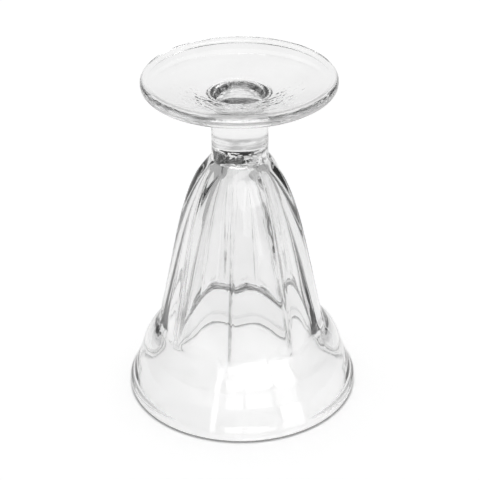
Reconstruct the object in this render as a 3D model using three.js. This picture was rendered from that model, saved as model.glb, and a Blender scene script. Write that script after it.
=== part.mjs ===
// A footed sundae glass in clear pressed glass, stood upside down on its mouth.
// Millimetres, +Z up. The origin is the centre of the mouth, on the plane that the rim rests on.
// From the bottom up: the fluted bowl, a solid stem, and the foot, a shallow dish that faces up.
import * as THREE from "three";

// Heights along the axis
const BOWL_HEIGHT = 113; // mouth to the joint with the stem
const STEM_LENGTH = 25;
const FOOT_HEIGHT = 12; // joint with the stem to the ring that the upright glass stands on

// Rim and skirt, the smooth flared part of the bowl
const MOUTH_RADIUS = 50.3;
const BEAD_HEIGHT = 4; // the rim's rounded bead, outside
const BEAD_WALL = 3.8;
const BEAD_ROUNDING = 1.3; // from the bead's sides in to its flat underside
const SKIRT_HEIGHT = 20; // mouth to the widest part of the shoulder
const SHOULDER_RADIUS = 44; // round ledge between the skirt and the bell
const SHOULDER_HEIGHT = 10.5; // from the skirt up to the bell
const SKIRT_HOLLOW = 0.8; // how far the skirt's side is drawn in from a straight cone

// Bell, the fluted part of the bowl, measured over the ridges between the flutes
const BELL_RADIUS = 37;
const BELL_TAPER = 9; // how far its side leans in over the lower half
const CROWN_ROUNDING = 13; // where it turns in to the stem
const WALL = 3.6;
const HOLLOW_ROUNDING = 16; // closed end of the hollow
const CROWN = 3; // from the hollow up to the joint with the stem

// Flutes, the scooped panels round the bell
const FLUTES = 8;
const FLUTE_DEPTH = 1.9; // ridge to the middle of a flute
const RIDGE_WIDTH = 0.17; // share of a flute's swing that the narrow top of a ridge takes
const RIDGE_ROUNDING = 0.06; // softness of the corner beside it, in the same measure
const FIRST_RIDGE = -9; // degrees from -Y towards +X
const CROWN_FADE = 6; // height over which the flutes run out below the stem
const SHOULDER_FADE = 7; // height over which they run out above the shoulder

// Stem
const STEM_RADIUS = 12.3;
const STEM_WAIST = 0.3; // how much slimmer it is half way up

// Foot
const FOOT_RADIUS = 41;
const FOOT_EDGE = 4.7; // thickness of its rounded edge
const FOOT_RING = 1.6; // width of the flat ring that the upright glass stands on
const FOOT_ROUNDING = 2; // from the widest point in to the flat ring
const DISH_DEPTH = 6.5;
const STEM_FILLET = 3; // roundness where its underside meets the stem

// Fineness of the curved surfaces
const STEPS_PER_FLUTE = 10;
const TURN_STEPS = 60;
const LONG_STEPS = 10;
const SHORT_STEPS = 4;

const BELL_START = SKIRT_HEIGHT + SHOULDER_HEIGHT;
const HOLLOW_TOP = BOWL_HEIGHT - CROWN;

const at = (radius, height) => new THREE.Vector2(radius, height);

// Points of a curve with three or four control points.
function curve(steps, ...controls) {
  const Curve = controls.length === 3 ? THREE.QuadraticBezierCurve : THREE.CubicBezierCurve;
  return new Curve(...controls).getPoints(steps);
}

// One profile from stretches that each start where the last one ended.
function joined(...stretches) {
  return stretches.flatMap((points, i) => (i ? points.slice(1) : points));
}

// Outside of the bowl from the rim's flat underside up to the stem, over the ridges.
function bowlOutside() {
  const beadTop = at(MOUTH_RADIUS, BEAD_HEIGHT);
  const skirtTop = at(SHOULDER_RADIUS, SKIRT_HEIGHT);
  const skirtMiddle = beadTop.clone().add(skirtTop).multiplyScalar(0.5);
  const bellBottom = at(BELL_RADIUS, BELL_START);
  return joined(
    curve(SHORT_STEPS, at(MOUTH_RADIUS - BEAD_ROUNDING, 0), at(MOUTH_RADIUS, 0), beadTop),
    curve(SHORT_STEPS, beadTop, skirtMiddle.sub(at(SKIRT_HOLLOW, SKIRT_HOLLOW)), skirtTop),
    curve(
      SHORT_STEPS + 2,
      skirtTop,
      at(SHOULDER_RADIUS - SHOULDER_HEIGHT / 8, SKIRT_HEIGHT + SHOULDER_HEIGHT / 2),
      at(BELL_RADIUS + SHOULDER_HEIGHT / 6, BELL_START - SHOULDER_HEIGHT / 4),
      bellBottom,
    ),
    curve(
      LONG_STEPS,
      bellBottom,
      at(BELL_RADIUS - BELL_TAPER, (BELL_START + BOWL_HEIGHT) / 2),
      at(STEM_RADIUS + CROWN_ROUNDING, BOWL_HEIGHT - CROWN_ROUNDING),
      at(STEM_RADIUS, BOWL_HEIGHT),
    ),
  );
}

// The hollow from the middle of its closed end down to the rim's flat underside.
function bowlInside() {
  const bellBottom = at(BELL_RADIUS - WALL, BELL_START);
  const rimInside = at(MOUTH_RADIUS - BEAD_WALL, BEAD_HEIGHT);
  return joined(
    curve(
      LONG_STEPS,
      at(0, HOLLOW_TOP),
      at(HOLLOW_ROUNDING, HOLLOW_TOP),
      at(BELL_RADIUS - BELL_TAPER - WALL, (BELL_START + HOLLOW_TOP) / 2),
      bellBottom,
    ),
    curve(SHORT_STEPS, bellBottom, at(SHOULDER_RADIUS - WALL, SKIRT_HEIGHT), rimInside),
    curve(
      SHORT_STEPS,
      rimInside,
      at(MOUTH_RADIUS - BEAD_WALL, 0),
      at(MOUTH_RADIUS - BEAD_WALL + BEAD_ROUNDING, 0),
    ),
  );
}

// How deep the flutes are at a height: nothing at the shoulder and at the stem, full depth between.
function fluteDepth(height) {
  const lowest = BELL_START - SHOULDER_FADE / 2;
  const overShoulder = THREE.MathUtils.smoothstep(height, lowest, BELL_START + SHOULDER_FADE);
  const underStem = 1 - THREE.MathUtils.smoothstep(height, BOWL_HEIGHT - CROWN_FADE, BOWL_HEIGHT);
  return FLUTE_DEPTH * overShoulder * underStem;
}

// How far across a flute cuts in: 0 on a ridge, 1 in the middle of a flute.
function scoop(turnsOfFlute) {
  const softened = (x) => Math.hypot(x, RIDGE_ROUNDING) - RIDGE_ROUNDING;
  const pastRidge = Math.max(Math.abs(Math.sin(Math.PI * turnsOfFlute)) - RIDGE_WIDTH, 0);
  return softened(pastRidge) / softened(1 - RIDGE_WIDTH);
}

// The turned bowl with its flutes pressed into the outside.
function bowlGeometry() {
  const inside = bowlInside();
  const profile = [...inside, ...bowlOutside(), at(0, BOWL_HEIGHT)];
  const turn = THREE.MathUtils.degToRad(FIRST_RIDGE);
  const geometry = new THREE.LatheGeometry(profile, FLUTES * STEPS_PER_FLUTE, turn);
  const position = geometry.attributes.position;
  for (let i = 0; i < position.count; i++) {
    const along = i % profile.length;
    const radius = profile[along].x;
    if (along < inside.length || radius === 0) continue;
    const depth = fluteDepth(position.getY(i)) * scoop(Math.floor(i / profile.length) / STEPS_PER_FLUTE);
    position.setX(i, position.getX(i) * (1 - depth / radius));
    position.setZ(i, position.getZ(i) * (1 - depth / radius));
  }
  return geometry;
}

function stemGeometry() {
  const waist = at(STEM_RADIUS - 2 * STEM_WAIST, STEM_LENGTH / 2);
  const side = curve(SHORT_STEPS, at(STEM_RADIUS, 0), waist, at(STEM_RADIUS, STEM_LENGTH));
  return new THREE.LatheGeometry([at(0, 0), ...side, at(0, STEM_LENGTH)], TURN_STEPS);
}

// The foot from the joint with the stem out along its sloping underside, round the edge, over the flat
// ring and down into the dish.
function footGeometry() {
  const edgeBottom = FOOT_HEIGHT - FOOT_EDGE;
  const widest = at(FOOT_RADIUS, FOOT_HEIGHT - FOOT_EDGE / 2);
  const ringOutside = at(FOOT_RADIUS - FOOT_ROUNDING, FOOT_HEIGHT);
  const ringInside = at(ringOutside.x - FOOT_RING, FOOT_HEIGHT);
  const dishBottom = FOOT_HEIGHT - DISH_DEPTH;
  return new THREE.LatheGeometry(
    [
      at(0, 0),
      ...curve(
        SHORT_STEPS,
        at(STEM_RADIUS, 0),
        at(STEM_RADIUS, STEM_FILLET),
        at(STEM_RADIUS + STEM_FILLET, STEM_FILLET),
      ),
      ...joined(
        curve(SHORT_STEPS, at(FOOT_RADIUS - FOOT_EDGE / 2, edgeBottom), at(FOOT_RADIUS, edgeBottom), widest),
        curve(SHORT_STEPS, widest, at(FOOT_RADIUS, FOOT_HEIGHT), ringOutside),
      ),
      ...curve(LONG_STEPS, ringInside, at(ringInside.x / 2, dishBottom), at(0, dishBottom)),
    ],
    TURN_STEPS,
  );
}

// A mesh with its axis turned from +Y to +Z, raised to its height.
function piece(name, geometry, colour, height) {
  const material = new THREE.MeshStandardMaterial({ color: colour, roughness: 0.05, metalness: 0 });
  const mesh = new THREE.Mesh(geometry.rotateX(Math.PI / 2), material);
  mesh.name = name;
  mesh.position.z = height;
  return mesh;
}

const sundaeGlass = new THREE.Group();
sundaeGlass.add(
  piece("bowl", bowlGeometry(), 0xe9f0ee, 0),
  piece("stem", stemGeometry(), 0xdfe8e6, BOWL_HEIGHT),
  piece("foot", footGeometry(), 0xe4ecea, BOWL_HEIGHT + STEM_LENGTH),
);

export default sundaeGlass;
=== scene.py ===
# A footed sundae glass in clear pressed glass, upside down on its mouth on a white table.
# Metres, +Z up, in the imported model's frame.
import math

import bpy
import numpy as np
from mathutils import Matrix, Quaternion, Vector, noise

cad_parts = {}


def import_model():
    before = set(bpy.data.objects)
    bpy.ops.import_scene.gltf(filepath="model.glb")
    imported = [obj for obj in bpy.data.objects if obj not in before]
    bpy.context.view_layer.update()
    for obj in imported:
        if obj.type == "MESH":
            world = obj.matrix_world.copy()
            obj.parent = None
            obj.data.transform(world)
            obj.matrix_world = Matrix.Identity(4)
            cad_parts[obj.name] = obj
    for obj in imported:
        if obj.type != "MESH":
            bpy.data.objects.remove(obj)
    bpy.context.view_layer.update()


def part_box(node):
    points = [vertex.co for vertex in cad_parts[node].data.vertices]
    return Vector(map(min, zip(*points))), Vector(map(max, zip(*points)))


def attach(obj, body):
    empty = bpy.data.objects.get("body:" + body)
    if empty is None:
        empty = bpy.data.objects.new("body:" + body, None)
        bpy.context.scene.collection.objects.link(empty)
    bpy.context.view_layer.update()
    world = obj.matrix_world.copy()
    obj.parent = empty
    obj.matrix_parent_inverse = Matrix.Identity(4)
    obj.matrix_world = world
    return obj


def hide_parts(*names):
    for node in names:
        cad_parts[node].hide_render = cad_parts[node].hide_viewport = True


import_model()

MM = 0.001

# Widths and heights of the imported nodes
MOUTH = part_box("bowl")[1][0]
BOWL_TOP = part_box("bowl")[1][2]
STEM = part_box("stem")[1][0]
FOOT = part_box("foot")[1][0]
FOOT_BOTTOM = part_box("foot")[0][2]
FOOT_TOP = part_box("foot")[1][2]

# Rim and skirt
BEAD_HEIGHT = 4 * MM
BEAD_WALL = 3.8 * MM
BEAD_ROUNDING = 1.3 * MM
SKIRT_HEIGHT = 20 * MM
SHOULDER_RADIUS = 44 * MM
SHOULDER_HEIGHT = 10.5 * MM
SKIRT_HOLLOW = 0.8 * MM

# Bell
BELL_RADIUS = 37 * MM
BELL_TAPER = 9 * MM
CROWN_ROUNDING = 13 * MM
WALL = 3.6 * MM
HOLLOW_ROUNDING = 16 * MM
CROWN = 3 * MM

# Flutes
FLUTES = 8
FLUTE_DEPTH = 1.9 * MM
RIDGE_WIDTH = 0.17
RIDGE_ROUNDING = 0.06
FIRST_RIDGE = math.radians(-9)
CROWN_FADE = 6 * MM
SHOULDER_FADE = 7 * MM

# Stem and foot
STEM_WAIST = 0.3 * MM
FOOT_EDGE = 4.7 * MM
FOOT_RING = 1.6 * MM
FOOT_ROUNDING = 2 * MM
DISH_DEPTH = 6.5 * MM
STEM_FILLET = 3 * MM

# Fineness of the meshes
TURN_STEPS = 480
LONG_STEPS = 72
SHORT_STEPS = 14
DISC_STEPS = 6

# Marks in the surface. A size is how wide one swell or grain is. Where a mark lies is its low end, its
# high end and how far it fades past each, in height, radius or azimuth.
HOLLOW_SWELL_SIZE = 16 * MM
HOLLOW_SWELL = 0.1 * MM
CRACKLE_SIZE = 2.6 * MM
CRACKLE_DEPTH = 0.05 * MM
CRACKLE_HEIGHTS = (74 * MM, 108 * MM, 5 * MM)
CRACKLE_TURN = (0.35, 1.0, 0.2)  # radians from the front to the right
BELL_SWELL_SIZE = 11 * MM
BELL_SWELL = 0.08 * MM
BELL_SWELL_HEIGHTS = (12 * MM, 104 * MM, 6 * MM)
RIDGE_BEAD = 0.22 * MM
RIDGE_BEAD_HEIGHTS = (30 * MM, 106 * MM, 4 * MM)
RIDGE_BEAD_EDGES = (0.02, 0.13)  # off the ridge, where 1 is the middle of a flute
PATCH_SIZE = 4 * MM
PATCH_DEPTH = 0.12 * MM
PATCH_HEIGHTS = (28 * MM, 42 * MM, 5 * MM)
RING_DEPTH = 0.12 * MM
RING_HEIGHTS = (13.2 * MM, 14.2 * MM, 0.8 * MM)
CHILL_SIZE = 2.4 * MM
CHILL_DEPTH = 0.13 * MM
CHILL_HEIGHTS = (BOWL_TOP + 1 * MM, BOWL_TOP + 6 * MM, 0.9 * MM)
COARSE_RIPPLE = (1.3 * MM, 6)  # width, and how many to a radian
FINE_RIPPLE = (0.7 * MM, 11)
RIPPLE_DEPTH = 0.15 * MM
RIPPLE_RADII = (16 * MM, 29 * MM, 3 * MM)

# Glass. A tint is the share of the light that passes, and a haze is the highest roughness.
GLASS_IOR = 1.52
GLASS_DENSITY = 14  # absorption per metre, in the bowl
BOWL_TINT = 0.955
STEM_TINT = 0.9
FOOT_TINT = 0.945
BOWL_HAZE = 0.02
STEM_HAZE = 0.35
FOOT_HAZE = 0.03
CLOUD_SIZE = 14 * MM
CLOUD_SHADE = 0.04  # how much tint a cloud takes away
SKIN_SIZE = 5 * MM  # unevenness too slight for the meshes
SKIN_HEIGHT = 0.02 * MM
# Painted shade: glass seen at a slant is greyed, which draws dark outlines.
PAINTED_EDGE_START = 0.74  # how slanted glass is where painted shade starts to grey it, from 0 to 1
PAINTED_EDGE_SHADE = 0.15
# Painted shade: a thin broken grey line along each ridge of the bell.
RIDGE_SHADE_WIDTH = 0.12  # off the ridge, where 1 is the middle of a flute
RIDGE_SHADE_TINT = 0.35
RIDGE_SHADE_BREAKS = 9 * MM
# Painted shade: a mottled grey band round the stem, just above the bowl.
BAND_HEIGHTS = (BOWL_TOP + 0.5 * MM, BOWL_TOP + 6.5 * MM)
BAND_SHADE = 0.85
MOTTLE_SIZE = 2.2 * MM

# Camera
CAMERA_DISTANCE = 0.7745
CAMERA_ELEVATION = math.radians(30.33)
CAMERA_LENS = 134.18
CAMERA_ROLL = -0.011
AIM = (-0.0004, 0, 0.07165)

# Studio
FLOOR_SIZE = 8
FLOOR_WHITE = 0.85
TABLE_GLOW = 0.57
# Painted contact shadow: how far the dark ring under the rim reaches.
CONTACT_SHADOW_REACH = 8 * MM
WORLD_LIGHT = 0.55
WINDOW_LIGHT = 2.6
WINDOW_DISTANCE = 2.0
WINDOW_PANES = (  # azimuth and elevation in degrees, width and height in metres
    ("window_left", -29, 30, 0.2, 2.0),
    ("window_inner", -9, 37, 0.62, 1.6),
    ("window_middle", 18, 37, 1.0, 1.6),
    ("window_right", 50, 30, 0.8, 2.0),
)
MOST_BOUNCES = 24
GLOSSY_BOUNCES = 10

BELL_START = SKIRT_HEIGHT + SHOULDER_HEIGHT
HOLLOW_TOP = BOWL_TOP - CROWN
GLASS_MIDDLE = (0, 0, FOOT_TOP / 2)


# Profiles are arrays of (radius, height).

def bezier(steps, *controls):
    """Points of the Bezier curve with these control points."""
    t = np.linspace(0, 1, steps + 1)[:, None]
    points = np.array(controls, float)[:, None, :].repeat(steps + 1, axis=1)
    while len(points) > 1:
        points = points[:-1] * (1 - t) + points[1:] * t
    return points[0]


def joined(*stretches):
    """One profile from stretches that each start where the last one ended."""
    return np.vstack([stretches[0]] + [s[1:] for s in stretches[1:]])


def smooth_step(x, low, high):
    """0 up to low and 1 from high on, with an even rise between."""
    t = np.clip((x - low) / (high - low), 0, 1)
    return t * t * (3 - 2 * t)


def bowl_outside():
    """The rim's flat underside up to the stem, over the ridges."""
    bead_top = np.array((MOUTH, BEAD_HEIGHT))
    skirt_top = np.array((SHOULDER_RADIUS, SKIRT_HEIGHT))
    bell_bottom = (BELL_RADIUS, BELL_START)
    return joined(
        bezier(SHORT_STEPS, (MOUTH - BEAD_ROUNDING, 0), (MOUTH, 0), bead_top),
        bezier(SHORT_STEPS, bead_top, (bead_top + skirt_top) / 2 - SKIRT_HOLLOW, skirt_top),
        bezier(
            2 * SHORT_STEPS,
            skirt_top,
            (SHOULDER_RADIUS - SHOULDER_HEIGHT / 8, SKIRT_HEIGHT + SHOULDER_HEIGHT / 2),
            (BELL_RADIUS + SHOULDER_HEIGHT / 6, BELL_START - SHOULDER_HEIGHT / 4),
            bell_bottom,
        ),
        bezier(
            LONG_STEPS,
            bell_bottom,
            (BELL_RADIUS - BELL_TAPER, (BELL_START + BOWL_TOP) / 2),
            (STEM + CROWN_ROUNDING, BOWL_TOP - CROWN_ROUNDING),
            (STEM, BOWL_TOP),
        ),
    )


def bowl_inside():
    """The middle of the hollow's closed end down to the rim's flat underside."""
    bell_bottom = (BELL_RADIUS - WALL, BELL_START)
    rim_inside = (MOUTH - BEAD_WALL, BEAD_HEIGHT)
    return joined(
        bezier(
            LONG_STEPS,
            (0, HOLLOW_TOP),
            (HOLLOW_ROUNDING, HOLLOW_TOP),
            (BELL_RADIUS - BELL_TAPER - WALL, (BELL_START + HOLLOW_TOP) / 2),
            bell_bottom,
        ),
        bezier(2 * SHORT_STEPS, bell_bottom, (SHOULDER_RADIUS - WALL, SKIRT_HEIGHT), rim_inside),
        bezier(
            SHORT_STEPS,
            rim_inside,
            (MOUTH - BEAD_WALL, 0),
            (MOUTH - BEAD_WALL + BEAD_ROUNDING, 0),
        ),
    )


def disc(radius, height, outwards):
    """A flat face from the axis to a radius, or back."""
    radii = np.linspace(0, radius, DISC_STEPS + 1)
    points = np.column_stack((radii, np.full(len(radii), height)))
    return points if outwards else points[::-1]


def off_ridge(azimuth):
    """0 on a ridge and 1 in the middle of a flute."""
    return np.abs(np.sin(FLUTES / 2 * (azimuth - FIRST_RIDGE)))


def flute_offset(profile, azimuth):
    """How far the flutes draw the outside of the bowl in, at each profile point and azimuth."""
    height = profile[:, 1]
    over_shoulder = smooth_step(height, BELL_START - SHOULDER_FADE / 2, BELL_START + SHOULDER_FADE)
    under_stem = 1 - smooth_step(height, BOWL_TOP - CROWN_FADE, BOWL_TOP)
    past_ridge = np.maximum(off_ridge(azimuth) - RIDGE_WIDTH, 0)
    scoop = np.hypot(past_ridge, RIDGE_ROUNDING) - RIDGE_ROUNDING
    scoop = scoop / (math.hypot(1 - RIDGE_WIDTH, RIDGE_ROUNDING) - RIDGE_ROUNDING)
    return FLUTE_DEPTH * (over_shoulder * under_stem)[:, None] * scoop[None, :]


def noise_at(scale, *coordinates):
    """Smooth noise, about -1 to 1, with swells of roughly this size."""
    points = np.stack(np.broadcast_arrays(*coordinates), axis=-1) / scale
    flat = [noise.noise(Vector(p)) for p in points.reshape(-1, 3)]
    return np.array(flat).reshape(points.shape[:-1])


def hump(x, low, high, fade):
    """1 between low and high, falling to 0 outside them."""
    return smooth_step(x, low - fade, low + fade) * (1 - smooth_step(x, high - fade, high + fade))


def steps_round():
    """The azimuths of a turned mesh's steps, from -Y towards +X, starting on a ridge."""
    return FIRST_RIDGE + np.arange(TURN_STEPS) * 2 * math.pi / TURN_STEPS


def turned(name, profile, offset, relief, joints, glass, fused):
    """A closed mesh turned about the Z axis.
    offset gives how far each point is drawn in towards the axis, and relief how deep the skin of
    the glass sinks there, by profile row and azimuth step. The steps of the profile listed in
    joints are faces where the glass runs on into its neighbour, so they get the fused material."""
    azimuth = steps_round()
    directions = np.column_stack((np.sin(azimuth), -np.cos(azimuth)))
    along = np.gradient(profile, axis=0)
    outwards = np.column_stack((along[:, 1], -along[:, 0]))
    outwards /= np.maximum(np.linalg.norm(outwards, axis=1), 1e-12)[:, None]
    vertices, rings = [], []
    for row, (radius, height) in enumerate(profile):
        on_axis = radius < 1e-9
        sunk = relief[row][:1] if on_axis else relief[row]
        reach = radius - sunk * outwards[row, 0] - (0 if on_axis else offset[row])
        spokes = directions[:1] * 0 if on_axis else directions * reach[:, None]
        heights = height - sunk * outwards[row, 1]
        rings.append(len(vertices) + np.arange(len(spokes)))
        vertices.extend((x, y, z) for (x, y), z in zip(spokes, heights))
    faces, slots = [], []
    for row, (low, high) in enumerate(zip(rings[:-1], rings[1:])):
        a, b = np.resize(low, TURN_STEPS), np.resize(high, TURN_STEPS)
        c, d = np.roll(b, -1), np.roll(a, -1)
        if len(low) == 1:
            made = np.column_stack((a, c, b))
        elif len(high) == 1:
            made = np.column_stack((a, d, b))
        else:
            made = np.column_stack((a, d, c, b))
        faces.extend(made.tolist())
        slots.extend([int(row in joints)] * TURN_STEPS)
    mesh = bpy.data.meshes.new(name)
    mesh.from_pydata(vertices, [], faces)
    mesh.materials.append(glass)
    mesh.materials.append(fused)
    mesh.polygons.foreach_set("material_index", slots)
    mesh.polygons.foreach_set("use_smooth", [True] * len(faces))
    keep_joint_corners_sharp(mesh, slots)
    mesh.validate()
    mesh.update()
    piece = bpy.data.objects.new(name, mesh)
    bpy.context.scene.collection.objects.link(piece)
    return piece


def keep_joint_corners_sharp(mesh, slots):
    """Marks the edges between a joint face and the outside, so that shading doesn't round them."""
    sides = {}
    for polygon, slot in zip(mesh.polygons, slots):
        for key in polygon.edge_keys:
            sides.setdefault(key, set()).add(slot)
    for edge in mesh.edges:
        edge.use_edge_sharp = len(sides[edge.key]) > 1


# Shader nodes. Each helper returns the output that the next node takes.

def noise_output(tree, size):
    """Noise over the object's own coordinates, with swells of roughly this size."""
    texture = tree.nodes.new("ShaderNodeTexNoise")
    texture.inputs["Scale"].default_value = 1 / size
    texture.inputs["Detail"].default_value = 3
    place = tree.nodes.new("ShaderNodeTexCoord")
    tree.links.new(place.outputs["Object"], texture.inputs["Vector"])
    return texture.outputs["Fac"]


def place_outputs(tree):
    """The object's own X, Y and Z."""
    place = tree.nodes.new("ShaderNodeTexCoord")
    split = tree.nodes.new("ShaderNodeSeparateXYZ")
    tree.links.new(place.outputs["Object"], split.inputs["Vector"])
    return split.outputs["X"], split.outputs["Y"], split.outputs["Z"]


def maths(tree, operation, *values):
    """A maths node on numbers or outputs."""
    node = tree.nodes.new("ShaderNodeMath")
    node.operation = operation
    for socket, value in zip(node.inputs, values):
        if isinstance(value, (int, float)):
            socket.default_value = value
        else:
            tree.links.new(value, socket)
    return node.outputs["Value"]


def share_of_range(tree, value, low, high):
    """0 at the low end of a range, 1 at its high end."""
    node = tree.nodes.new("ShaderNodeMapRange")
    node.inputs["From Min"].default_value = low
    node.inputs["From Max"].default_value = high
    tree.links.new(value, node.inputs["Value"])
    return node.outputs["Result"]


def grey_ramp(tree, source, *stops):
    """A smooth ramp of grey levels, as (position, level) pairs, driven by a 0 to 1 value."""
    ramp = tree.nodes.new("ShaderNodeValToRGB")
    ramp.color_ramp.interpolation = "EASE"
    while len(ramp.color_ramp.elements) < len(stops):
        ramp.color_ramp.elements.new(1)
    for element, (position, level) in zip(ramp.color_ramp.elements, stops):
        element.position = position
        element.color = (level, level, level, 1)
    tree.links.new(source, ramp.inputs["Fac"])
    return ramp.outputs["Color"]


def colour_mix(tree, factor, first, second, blend="MIX"):
    """A mix of two colours. The factor and the second colour can be outputs or plain numbers."""
    mix = tree.nodes.new("ShaderNodeMix")
    mix.data_type = "RGBA"
    mix.blend_type = blend
    colours = {socket.name: socket for socket in mix.inputs if socket.type == "RGBA"}
    tree.links.new(first, colours["A"])
    if isinstance(second, float):
        colours["B"].default_value = (second, second, second, 1)
    else:
        tree.links.new(second, colours["B"])
    if isinstance(factor, int):
        mix.inputs["Factor"].default_value = factor
    else:
        tree.links.new(factor, mix.inputs["Factor"])
    return next(socket for socket in mix.outputs if socket.type == "RGBA")


def new_material(name):
    """A new material, its node tree and its Principled shader."""
    material = bpy.data.materials.new(name)
    material.use_nodes = True
    return material, material.node_tree, material.node_tree.nodes["Principled BSDF"]


def glass_material(name, tint, haze):
    """Clear glass whose clearness, polish and skin vary a little, as pressed glass does, with painted
    shade that greys it where it is seen at a slant.
    """
    material, tree, shader = new_material(name)
    shader.inputs["Transmission Weight"].default_value = 1
    shader.inputs["IOR"].default_value = GLASS_IOR
    clouds = noise_output(tree, CLOUD_SIZE)
    clearness = grey_ramp(tree, clouds, (0.3, tint - CLOUD_SHADE), (0.7, tint))
    # Painted shade: the colour darkens where the surface is seen at a slant, drawing dark outlines.
    slant = tree.nodes.new("ShaderNodeLayerWeight")
    slant.inputs["Blend"].default_value = 0.5
    edge = grey_ramp(tree, slant.outputs["Facing"], (PAINTED_EDGE_START, 1), (1, PAINTED_EDGE_SHADE))
    shaded = colour_mix(tree, 1, clearness, edge, "MULTIPLY")
    polish = grey_ramp(tree, clouds, (0.35, 0), (0.8, haze))
    bump = tree.nodes.new("ShaderNodeBump")
    bump.inputs["Strength"].default_value = 1
    bump.inputs["Distance"].default_value = SKIN_HEIGHT
    tree.links.new(noise_output(tree, SKIN_SIZE), bump.inputs["Height"])
    tree.links.new(shaded, shader.inputs["Base Color"])
    tree.links.new(polish, shader.inputs["Roughness"])
    tree.links.new(bump.outputs["Normal"], shader.inputs["Normal"])
    return material


def mix_in_painted_shade(material, amount, grey):
    """Mixes a grey into a glass material's colour as painted shade, by an amount that varies over the
    surface.
    """
    tree = material.node_tree
    colour = tree.nodes["Principled BSDF"].inputs["Base Color"]
    tree.links.new(colour_mix(tree, amount, colour.links[0].from_socket, grey), colour)


def paint_band_shade(material, low, high):
    """Painted shade: greys the glass in a mottled band between two heights, standing in for the dark
    band seen through the stem.
    """
    tree = material.node_tree
    _, _, z = place_outputs(tree)
    width = high - low
    height = share_of_range(tree, z, low - width, high + width)  # the band is the middle third
    band = grey_ramp(tree, height, (0.31, 0), (0.36, BAND_SHADE), (0.61, BAND_SHADE), (0.69, 0))
    mottle = grey_ramp(tree, noise_output(tree, MOTTLE_SIZE), (0.35, 0.12), (0.65, 0.8))
    mix_in_painted_shade(material, band, mottle)


def paint_ridge_shade(material):
    """Painted shade: greys a thin broken line along each ridge, standing in for the dark lines that
    the ridges refract.
    """
    tree = material.node_tree
    x, y, z = place_outputs(tree)
    azimuth = maths(tree, "ARCTAN2", x, maths(tree, "MULTIPLY", y, -1))
    from_ridge = maths(tree, "MULTIPLY", maths(tree, "SUBTRACT", azimuth, FIRST_RIDGE), FLUTES / 2)
    swing = maths(tree, "ABSOLUTE", maths(tree, "SINE", from_ridge))
    line = grey_ramp(tree, swing, (0, 1), (RIDGE_SHADE_WIDTH, 0))
    breaks = grey_ramp(tree, noise_output(tree, RIDGE_SHADE_BREAKS), (0.4, 0.15), (0.62, 1))
    height = maths(tree, "DIVIDE", z, BOWL_TOP)
    on_bell = grey_ramp(tree, height, (0.24, 0), (0.34, 1), (0.6, 1), (0.9, 0.3))
    broken_line = maths(tree, "MULTIPLY", line, breaks)
    mix_in_painted_shade(material, maths(tree, "MULTIPLY", broken_line, on_bell), RIDGE_SHADE_TINT)


def darken_long_paths(material):
    """Absorption, which greys the light that runs a long way inside the glass."""
    tree = material.node_tree
    absorption = tree.nodes.new("ShaderNodeVolumeAbsorption")
    absorption.inputs["Color"].default_value = (0, 0, 0, 1)
    absorption.inputs["Density"].default_value = GLASS_DENSITY
    tree.links.new(absorption.outputs["Volume"], tree.nodes["Material Output"].inputs["Volume"])


def fused_material():
    """The face where two pieces of glass are one: light passes straight through."""
    material, _, shader = new_material("fused_glass")
    shader.inputs["Alpha"].default_value = 0
    return material


def finish_piece(piece, node):
    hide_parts(node)
    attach(piece, "root")


def surface_grid(profile):
    """Each surface point's x, y, radius, height and azimuth, by row and step."""
    radius, height, azimuth = profile[:, :1], profile[:, 1:], steps_round()[None, :]
    return radius * np.sin(azimuth), -radius * np.cos(azimuth), radius, height, azimuth


def hollow_relief(profile):
    """Chill marks high inside the hollow, where the plunger touched the glass last."""
    x, y, _, height, azimuth = surface_grid(profile)
    swell = (noise_at(HOLLOW_SWELL_SIZE, x, y, height) + 1) * HOLLOW_SWELL
    coarse = noise_at(CRACKLE_SIZE, x, y, height * 0.6)
    crackle = coarse + 0.6 * noise_at(CRACKLE_SIZE / 2, x, y, height)
    where = hump(height, *CRACKLE_HEIGHTS) * hump(azimuth, *CRACKLE_TURN)
    above_rim = smooth_step(height, BEAD_HEIGHT, SKIRT_HEIGHT)
    return above_rim * swell + where * (crackle + 1) * CRACKLE_DEPTH


def bell_relief(profile):
    """The swell of pressed glass outside, with beads on the ridges and marks round the shoulder."""
    x, y, _, height, azimuth = surface_grid(profile)
    swell = (noise_at(BELL_SWELL_SIZE, x, y, height * 0.4) + 1) * BELL_SWELL
    skin = hump(height, *BELL_SWELL_HEIGHTS) * swell
    on_ridge = 1 - smooth_step(off_ridge(azimuth), *RIDGE_BEAD_EDGES)
    bead = hump(height, *RIDGE_BEAD_HEIGHTS) * on_ridge * RIDGE_BEAD
    mottle = noise_at(PATCH_SIZE, x, y, height * 0.5) * PATCH_DEPTH
    patches = hump(height, *PATCH_HEIGHTS) * mottle
    ring = hump(height, *RING_HEIGHTS) * RING_DEPTH
    return skin - bead + patches + ring


def bowl(fused):
    inside, outside = bowl_inside(), bowl_outside()
    top = disc(STEM, BOWL_TOP, outwards=False)
    profile = np.vstack((inside, outside, top[1:]))
    offset = np.zeros((len(profile), TURN_STEPS))
    outside_rows = slice(len(inside), len(inside) + len(outside))
    offset[outside_rows] = flute_offset(outside, steps_round())
    relief = np.zeros_like(offset)
    relief[:len(inside)] = hollow_relief(inside)
    relief[outside_rows] = bell_relief(outside)
    joint_rows = range(len(profile) - len(top), len(profile))
    glass = glass_material("bowl_glass", BOWL_TINT, BOWL_HAZE)
    paint_ridge_shade(glass)
    darken_long_paths(glass)
    piece = turned("bowl_glass", profile, offset, relief, joint_rows, glass, fused)
    finish_piece(piece, "bowl")


def stem_relief(profile):
    """A coarse chilled band where the stem was gathered off the bowl."""
    x, y, radius, height, _ = surface_grid(profile)
    on_side = radius > 0.9 * STEM
    band = hump(height, *CHILL_HEIGHTS) * on_side
    grain = noise_at(CHILL_SIZE, x, y, height) + 0.7 * noise_at(CHILL_SIZE / 2, x, y, height)
    return band * (grain + 1.4) * CHILL_DEPTH


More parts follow.
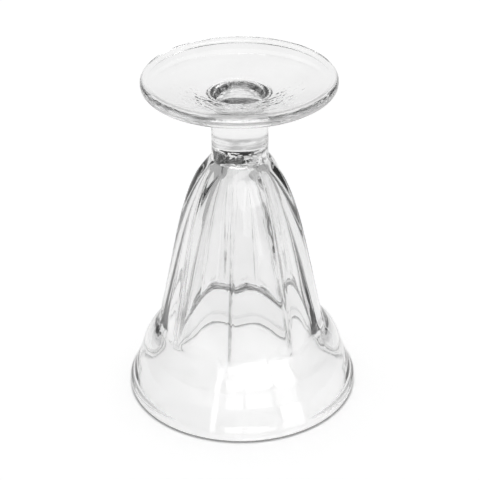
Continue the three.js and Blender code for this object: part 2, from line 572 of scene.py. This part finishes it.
def stem(fused):
    bottom = disc(STEM, BOWL_TOP, outwards=True)
    middle = (STEM - 2 * STEM_WAIST, (BOWL_TOP + FOOT_BOTTOM) / 2)
    side = bezier(LONG_STEPS, (STEM, BOWL_TOP), middle, (STEM, FOOT_BOTTOM))
    top = disc(STEM, FOOT_BOTTOM, outwards=False)
    profile = joined(bottom, side, top)
    last = len(profile) - 1
    joint_rows = [*range(DISC_STEPS), *range(last - DISC_STEPS, last)]
    offset = np.zeros((len(profile), TURN_STEPS))
    relief = stem_relief(profile)
    glass = glass_material("stem_glass", STEM_TINT, STEM_HAZE)
    paint_band_shade(glass, *BAND_HEIGHTS)
    piece = turned("stem_glass", profile, offset, relief, joint_rows, glass, fused)
    finish_piece(piece, "stem")


def dish_relief(profile):
    """Chill ripples in rings round the dish, faint behind and clear at the sides and front."""
    _, _, radius, _, azimuth = surface_grid(profile)
    coarse = noise_at(1, radius / COARSE_RIPPLE[0], azimuth * COARSE_RIPPLE[1], 0)
    fine = noise_at(1, radius / FINE_RIPPLE[0], azimuth * FINE_RIPPLE[1], 7)
    where = hump(radius, *RIPPLE_RADII)
    front = 0.15 + 0.85 * smooth_step(np.cos(azimuth), -0.35, 0.35)
    return where * front * (coarse + 0.7 * fine + 1.5) * RIPPLE_DEPTH


def foot(fused):
    edge_bottom = FOOT_TOP - FOOT_EDGE
    widest = (FOOT, FOOT_TOP - FOOT_EDGE / 2)
    ring_outside = (FOOT - FOOT_ROUNDING, FOOT_TOP)
    ring_inside = (FOOT - FOOT_ROUNDING - FOOT_RING, FOOT_TOP)
    under_stem = (STEM + STEM_FILLET, FOOT_BOTTOM + STEM_FILLET)
    edge_start = (FOOT - FOOT_EDGE / 2, edge_bottom)
    dish_bottom = FOOT_TOP - DISH_DEPTH
    dish = bezier(2 * LONG_STEPS, ring_inside, (ring_inside[0] / 2, dish_bottom), (0, dish_bottom))
    profile = joined(
        disc(STEM, FOOT_BOTTOM, outwards=True),
        bezier(SHORT_STEPS, (STEM, FOOT_BOTTOM), (STEM, under_stem[1]), under_stem),
        bezier(LONG_STEPS // 2, under_stem, edge_start),
        bezier(SHORT_STEPS, edge_start, (FOOT, edge_bottom), widest),
        bezier(SHORT_STEPS, widest, (FOOT, FOOT_TOP), ring_outside),
        bezier(2, ring_outside, ring_inside),
        dish,
    )
    offset = np.zeros((len(profile), TURN_STEPS))
    relief = np.zeros_like(offset)
    relief[-len(dish):] = dish_relief(dish)
    glass = glass_material("foot_glass", FOOT_TINT, FOOT_HAZE)
    piece = turned("foot_glass", profile, offset, relief, range(DISC_STEPS), glass, fused)
    finish_piece(piece, "foot")


def facing(obj, target):
    """Turns a camera or a light towards a point."""
    obj.rotation_mode = "QUATERNION"
    obj.rotation_quaternion = (Vector(target) - obj.location).to_track_quat("-Z", "Y")


def table_material():
    """White, and glowing a little as if lit from below, with a painted contact shadow: no glow in a
    ring where the rim presses on it.
    """
    material, tree, shader = new_material("floor_white")
    shader.inputs["Base Color"].default_value = (FLOOR_WHITE, FLOOR_WHITE, FLOOR_WHITE, 1)
    shader.inputs["Roughness"].default_value = 0.9
    shader.inputs["Specular IOR Level"].default_value = 0
    shader.inputs["Emission Color"].default_value = (1, 1, 1, 1)
    x, y, _ = place_outputs(tree)
    squares = [maths(tree, "MULTIPLY", value, value) for value in (x, y)]
    from_middle = maths(tree, "SQRT", maths(tree, "ADD", *squares))
    radius = maths(tree, "MULTIPLY", from_middle, FLOOR_SIZE)
    # Painted contact shadow: the glow is taken away in a ring under the rim.
    across_rim = share_of_range(tree, radius, MOUTH - CONTACT_SHADOW_REACH, MOUTH + CONTACT_SHADOW_REACH)
    outside_contact_shadow = grey_ramp(tree, across_rim, (0.2, 1), (0.35, 0), (0.45, 0), (0.55, 1))
    glow = maths(tree, "MULTIPLY", outside_contact_shadow, TABLE_GLOW)
    tree.links.new(glow, shader.inputs["Emission Strength"])
    return material


def floor():
    bpy.ops.mesh.primitive_plane_add(size=1, location=(0, 0, 0))
    obj = bpy.context.object
    obj.name = "floor"
    obj.scale = (FLOOR_SIZE, FLOOR_SIZE, 1)
    obj.data.materials.append(table_material())


def around(azimuth, elevation, distance):
    """A place round the glass. Azimuth in degrees from the camera's side, to the right."""
    a, e = math.radians(azimuth), math.radians(elevation)
    reach = distance * math.cos(e)
    return (reach * math.sin(a), -reach * math.cos(a), distance * math.sin(e))


def softbox(name, location, size, brightness):
    """A soft light that the glass reflects. It leaves the floor alone, which is lit evenly."""
    light = bpy.data.lights.new(name, "AREA")
    light.shape = "RECTANGLE"
    light.size, light.size_y = size
    light.energy = brightness * math.pi * size[0] * size[1]
    lamp = bpy.data.objects.new(name, light)
    bpy.context.scene.collection.objects.link(lamp)
    lamp.location = location
    lamp.visible_diffuse = False
    facing(lamp, GLASS_MIDDLE)


def world():
    sky = bpy.data.worlds.new("studio")
    sky.use_nodes = True
    background = sky.node_tree.nodes["Background"]
    background.inputs["Color"].default_value = (1, 1, 1, 1)
    background.inputs["Strength"].default_value = WORLD_LIGHT
    bpy.context.scene.world = sky


def camera():
    lens = bpy.data.cameras.new("camera")
    lens.lens = CAMERA_LENS
    eye = bpy.data.objects.new("camera", lens)
    bpy.context.scene.collection.objects.link(eye)
    bpy.context.scene.camera = eye
    reach = CAMERA_DISTANCE
    away = (0, -reach * math.cos(CAMERA_ELEVATION), reach * math.sin(CAMERA_ELEVATION))
    eye.location = Vector(AIM) + Vector(away)
    facing(eye, AIM)
    eye.rotation_quaternion = eye.rotation_quaternion @ Quaternion((0, 0, 1), CAMERA_ROLL)


fused_glass = fused_material()
bowl(fused_glass)
stem(fused_glass)
foot(fused_glass)

floor()
world()
for name, azimuth, elevation, width, height in WINDOW_PANES:
    softbox(name, around(azimuth, elevation, WINDOW_DISTANCE), (width, height), WINDOW_LIGHT)
camera()

# Light crosses many faces of clear glass. Fewer internal reflections keep the dark lines in it.
scene = bpy.context.scene
scene.view_settings.view_transform = "Standard"
scene.cycles.max_bounces = MOST_BOUNCES
scene.cycles.transmission_bounces = MOST_BOUNCES
scene.cycles.transparent_max_bounces = MOST_BOUNCES
scene.cycles.glossy_bounces = GLOSSY_BOUNCES
